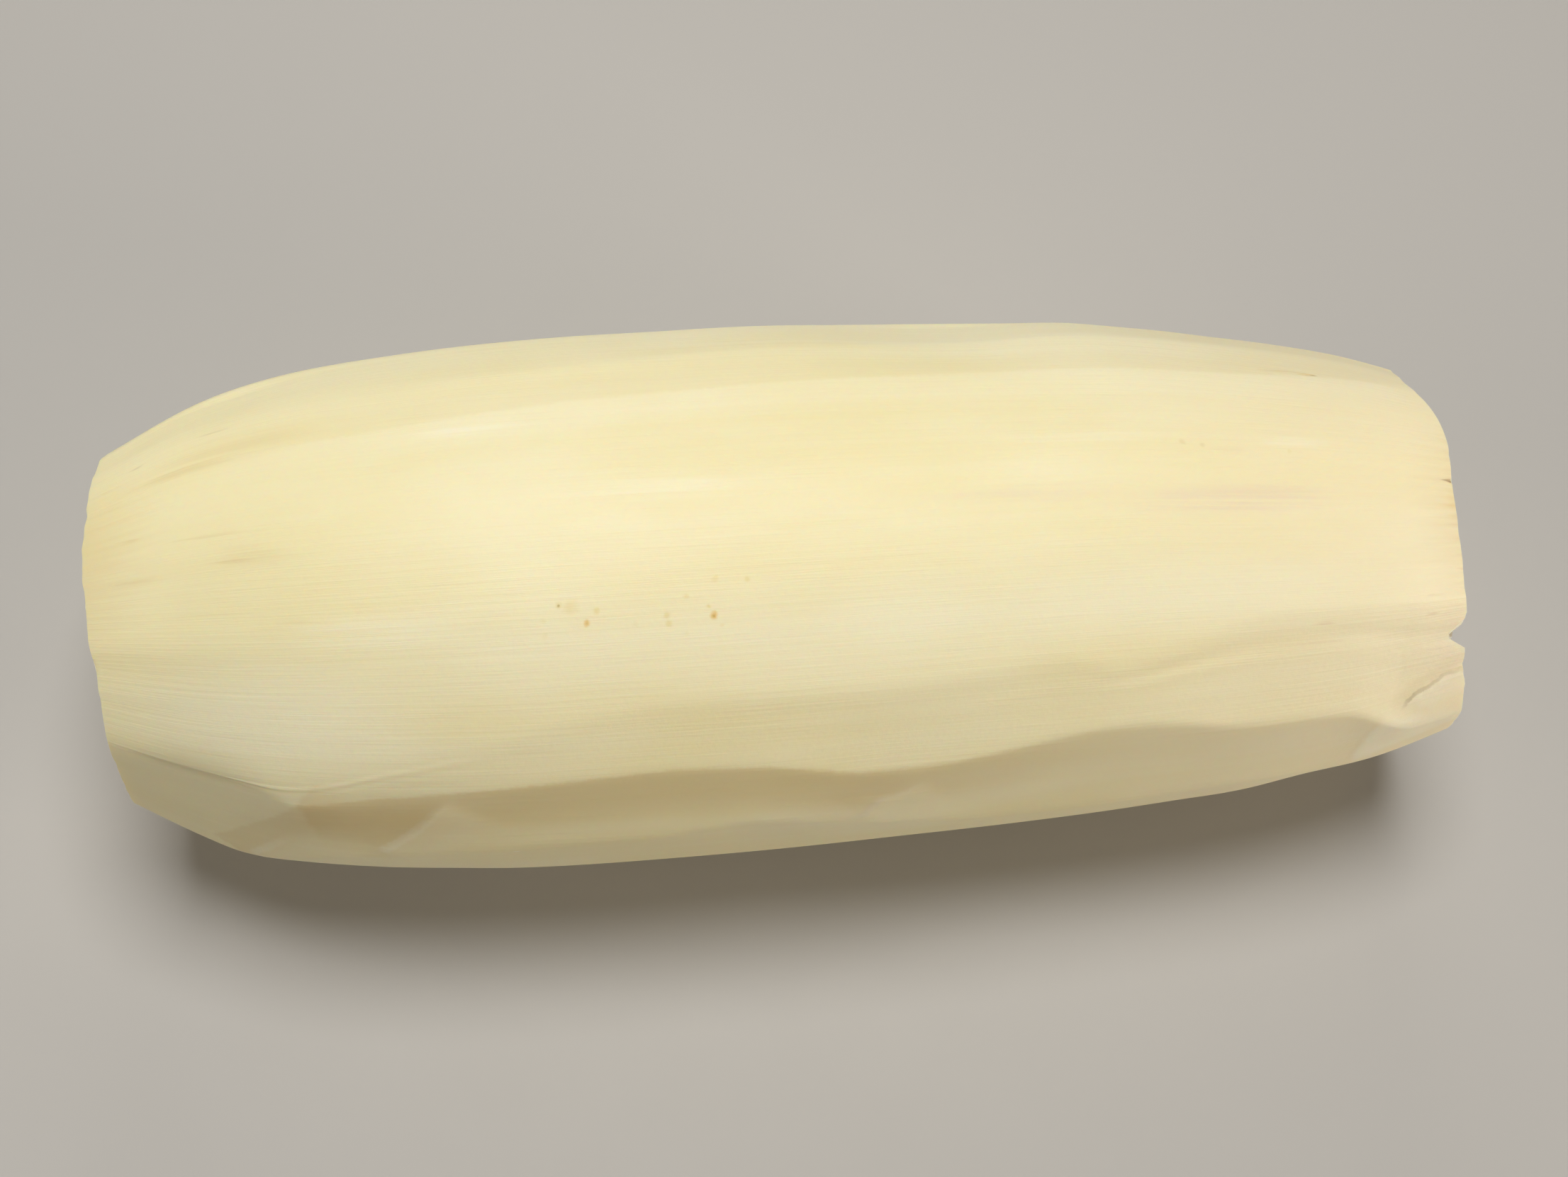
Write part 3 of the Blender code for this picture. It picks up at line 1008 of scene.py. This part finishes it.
# Tints all over: what each follows, where it starts and is complete, strength and colour
for field, low, high, strength, tint in (
    (bands, 0.45, 0.75, 0.14, PALE),
    (station, -20.0, -82.0, 0.34, GREENISH),
    (station, 20.0, 78.0, 0.42, PEACH),
    (fibres, 0.52, 0.80, 0.08, PALE),
    (fibres, 0.48, 0.22, 0.06, YELLOW),
    (hairs, 0.60, 0.85, 0.10, PALE),
    (mottle, 0.50, 0.80, 0.16, YELLOW),
):
    color = (field.between(low, high) * strength).mix(color, tint)
# Some of these tints are painted shade and painted light on the near side
for place, angle, length, width, tint, strength in EDGE_TINTS:
    color = (torn.spot(place, angle, length, width) * strength).mix(color, tint)
for place, angle, radius, tint, strength in SPECKS:
    color = (crumbled.spot(place, angle, radius, radius) * strength).mix(color, tint)
streaky = 0.25 + 0.75 * fibres.between(0.36, 0.58)
# The pale strips along the ridges among these are painted highlights
for place, angle, length, width, slant, tint, strength in STREAKS:
    ragged = torn.spot(place, angle, length, width, slant) * streaky
    color = (ragged * strength).mix(color, tint)
# Several seam tints are painted shade beside ridges, steps and the crack, and painted light along
# them
for name, *tints in SEAM_TINTS:
    seam = start.node("ShaderNodeAttribute", {"attribute_name": "seam_" + name}, output=1)
    beside, share, fading = seam.parts(3)
    beside = beside + SEAM_TEAR * (mottle - 0.5)
    left_tint, left_strength, left_width, right_tint, right_strength, right_width = tints[:6]
    lip_tint, lip_strength, lip_width = tints[6:]
    if left_strength:
        zone = beside.between(TINT_BLUR, -TINT_BLUR)
        zone = zone * beside.between(-left_width, -TINT_CORE * left_width) * fading
        color = (zone * left_strength).mix(color, left_tint)
    if right_strength:
        zone = beside.between(-TINT_BLUR, TINT_BLUR)
        zone = zone * beside.between(right_width, TINT_CORE * right_width) * fading
        color = (zone * right_strength).mix(color, right_tint)
    # A pale lip is a painted highlight along a step; the crack's dark lip is painted shade in the
    # crack
    if lip_strength:
        lip = beside.between(-lip_width, -LIP_CORE * lip_width)
        lip = lip * beside.between(lip_width, LIP_CORE * lip_width)
        color = (lip * fading * (1 - LIP_LOSS * share) * lip_strength).mix(color, lip_tint)
feed(shader, "Base Color", color)
feed(shader, "Roughness", 0.52 + 0.12 * mottle - 0.08 * fibres)
feed(shader, "Coat Weight", 0.02 + 0.06 * patches)
relief = 0.55 * fibres + 0.30 * hairs + 0.25 * mottle
bump = relief.node("ShaderNodeBump", {}, {"Strength": 0.40, "Distance": 0.00022, "Height": relief})
feed(shader, "Normal", bump)

# Cut flesh
# The knife's faces at both ends. They are whiter and wetter than the skin side, with cloudy
# patches, and the cut ends of fibres show in them as small darker dots.
CUT_CREAM = (0.900, 0.840, 0.610, 1)
CUT_WHITE = (0.930, 0.895, 0.730, 1)
FIBRE_END = (0.800, 0.680, 0.400, 1)

cut_flesh, shader, start = new_finish("cut_flesh")
moist(shader)
place = start.node("ShaderNodeTexCoord", output=3)
clouds = place.noise(4, 0.55, 190.0)
pores = place.noise(2, 0.5, 2600.0)
ends = place.node("ShaderNodeTexVoronoi", {}, {"Vector": place, "Scale": 780.0})
color = clouds.between(0.35, 0.65).mix(CUT_CREAM, CUT_WHITE)
color = ((1 - ends.between(0.05, 0.22)) * 0.35).mix(color, FIBRE_END)
color = (pores.between(0.58, 0.80) * 0.25).mix(color, CUT_WHITE)
feed(shader, "Base Color", color)
feed(shader, "Roughness", 0.34 + 0.16 * clouds)
feed(shader, "Coat Weight", 0.22 + 0.12 * pores)
relief = 0.6 * pores + 0.6 * clouds
bump = relief.node("ShaderNodeBump", {}, {"Strength": 0.25, "Distance": 0.0002, "Height": relief})
feed(shader, "Normal", bump)

# Canal lining
# The canals have a smooth skin of their own that grew with them, a shade darker and pinker
# than the cut flesh, with fine lines along it.
LINING = (0.790, 0.670, 0.440, 1)
LINING_DARK = (0.620, 0.480, 0.300, 1)

canal_lining, shader, start = new_finish("canal_lining")
moist(shader)
place = start.node("ShaderNodeTexCoord", output=3)
long_lines = place.stretched(30, 900).noise(3, 0.6)
color = long_lines.between(0.40, 0.75).mix(LINING, LINING_DARK)
feed(shader, "Base Color", color)
feed(shader, "Roughness", 0.30 + 0.20 * long_lines)
feed(shader, "Coat Weight", 0.20 + 0.10 * long_lines)

for finish in (peeled_flesh, cut_flesh, canal_lining):
    shape.materials.append(finish)
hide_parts("lotus_root")
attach(root, "root")

# Table top and light
# A plain pale table top, one broad soft lamp high above and a little beyond the root, weaker
# warm ones low at the left end, near the right end and beyond the root, and a faint even light.
TABLE_SIDE = 4.0
TABLE_COLOR = (0.46, 0.44, 0.415, 1)
# Each lamp as name, place, width, power and colour
LAMPS = [
    ("key_lamp", Vector((-0.04, 0.11, 0.85)), 0.40, 5.75, (1.0, 1.0, 0.98)),
    ("left_lamp", Vector((-0.85, -0.12, 0.26)), 0.35, 2.1, (1.0, 0.92, 0.82)),
    ("right_lamp", Vector((0.80, -0.36, 0.18)), 0.34, 4.5, (1.0, 0.92, 0.82)),
    ("far_lamp", Vector((0.05, 0.80, 0.32)), 0.35, 1.2, (1.0, 0.95, 0.84)),
]
ROOM_LIGHT = 0.02

half = TABLE_SIDE / 2
corners = [(-half, -half, 0), (half, -half, 0), (half, half, 0), (-half, half, 0)]
top = bpy.data.meshes.new("table_top")
top.from_pydata(corners, [], [(0, 1, 2, 3)])
table = bpy.data.objects.new("table_top", top)
bpy.context.scene.collection.objects.link(table)
table_finish, shader, start = new_finish("table_finish")
place = start.node("ShaderNodeTexCoord", output=3)
shader.inputs["Base Color"].default_value = TABLE_COLOR
feed(shader, "Roughness", 0.62 + 0.10 * place.noise(3, 0.5, 60.0))
top.materials.append(table_finish)

for name, place, width, power, color in LAMPS:
    lamp = bpy.data.lights.new(name, "AREA")
    lamp.shape = "DISK"
    lamp.size = width
    lamp.energy = power
    lamp.color = color
    lamp_holder = bpy.data.objects.new(name, lamp)
    lamp_holder.location = place
    lamp_holder.rotation_euler = (-place).to_track_quat("-Z", "Y").to_euler()
    bpy.context.scene.collection.objects.link(lamp_holder)

room = bpy.data.worlds.new("room")
room.use_nodes = True
room.node_tree.nodes["Background"].inputs["Color"].default_value = (1.0, 0.94, 0.86, 1)
room.node_tree.nodes["Background"].inputs["Strength"].default_value = ROOM_LIGHT
bpy.context.scene.world = room
bpy.context.scene.view_settings.view_transform = "Standard"
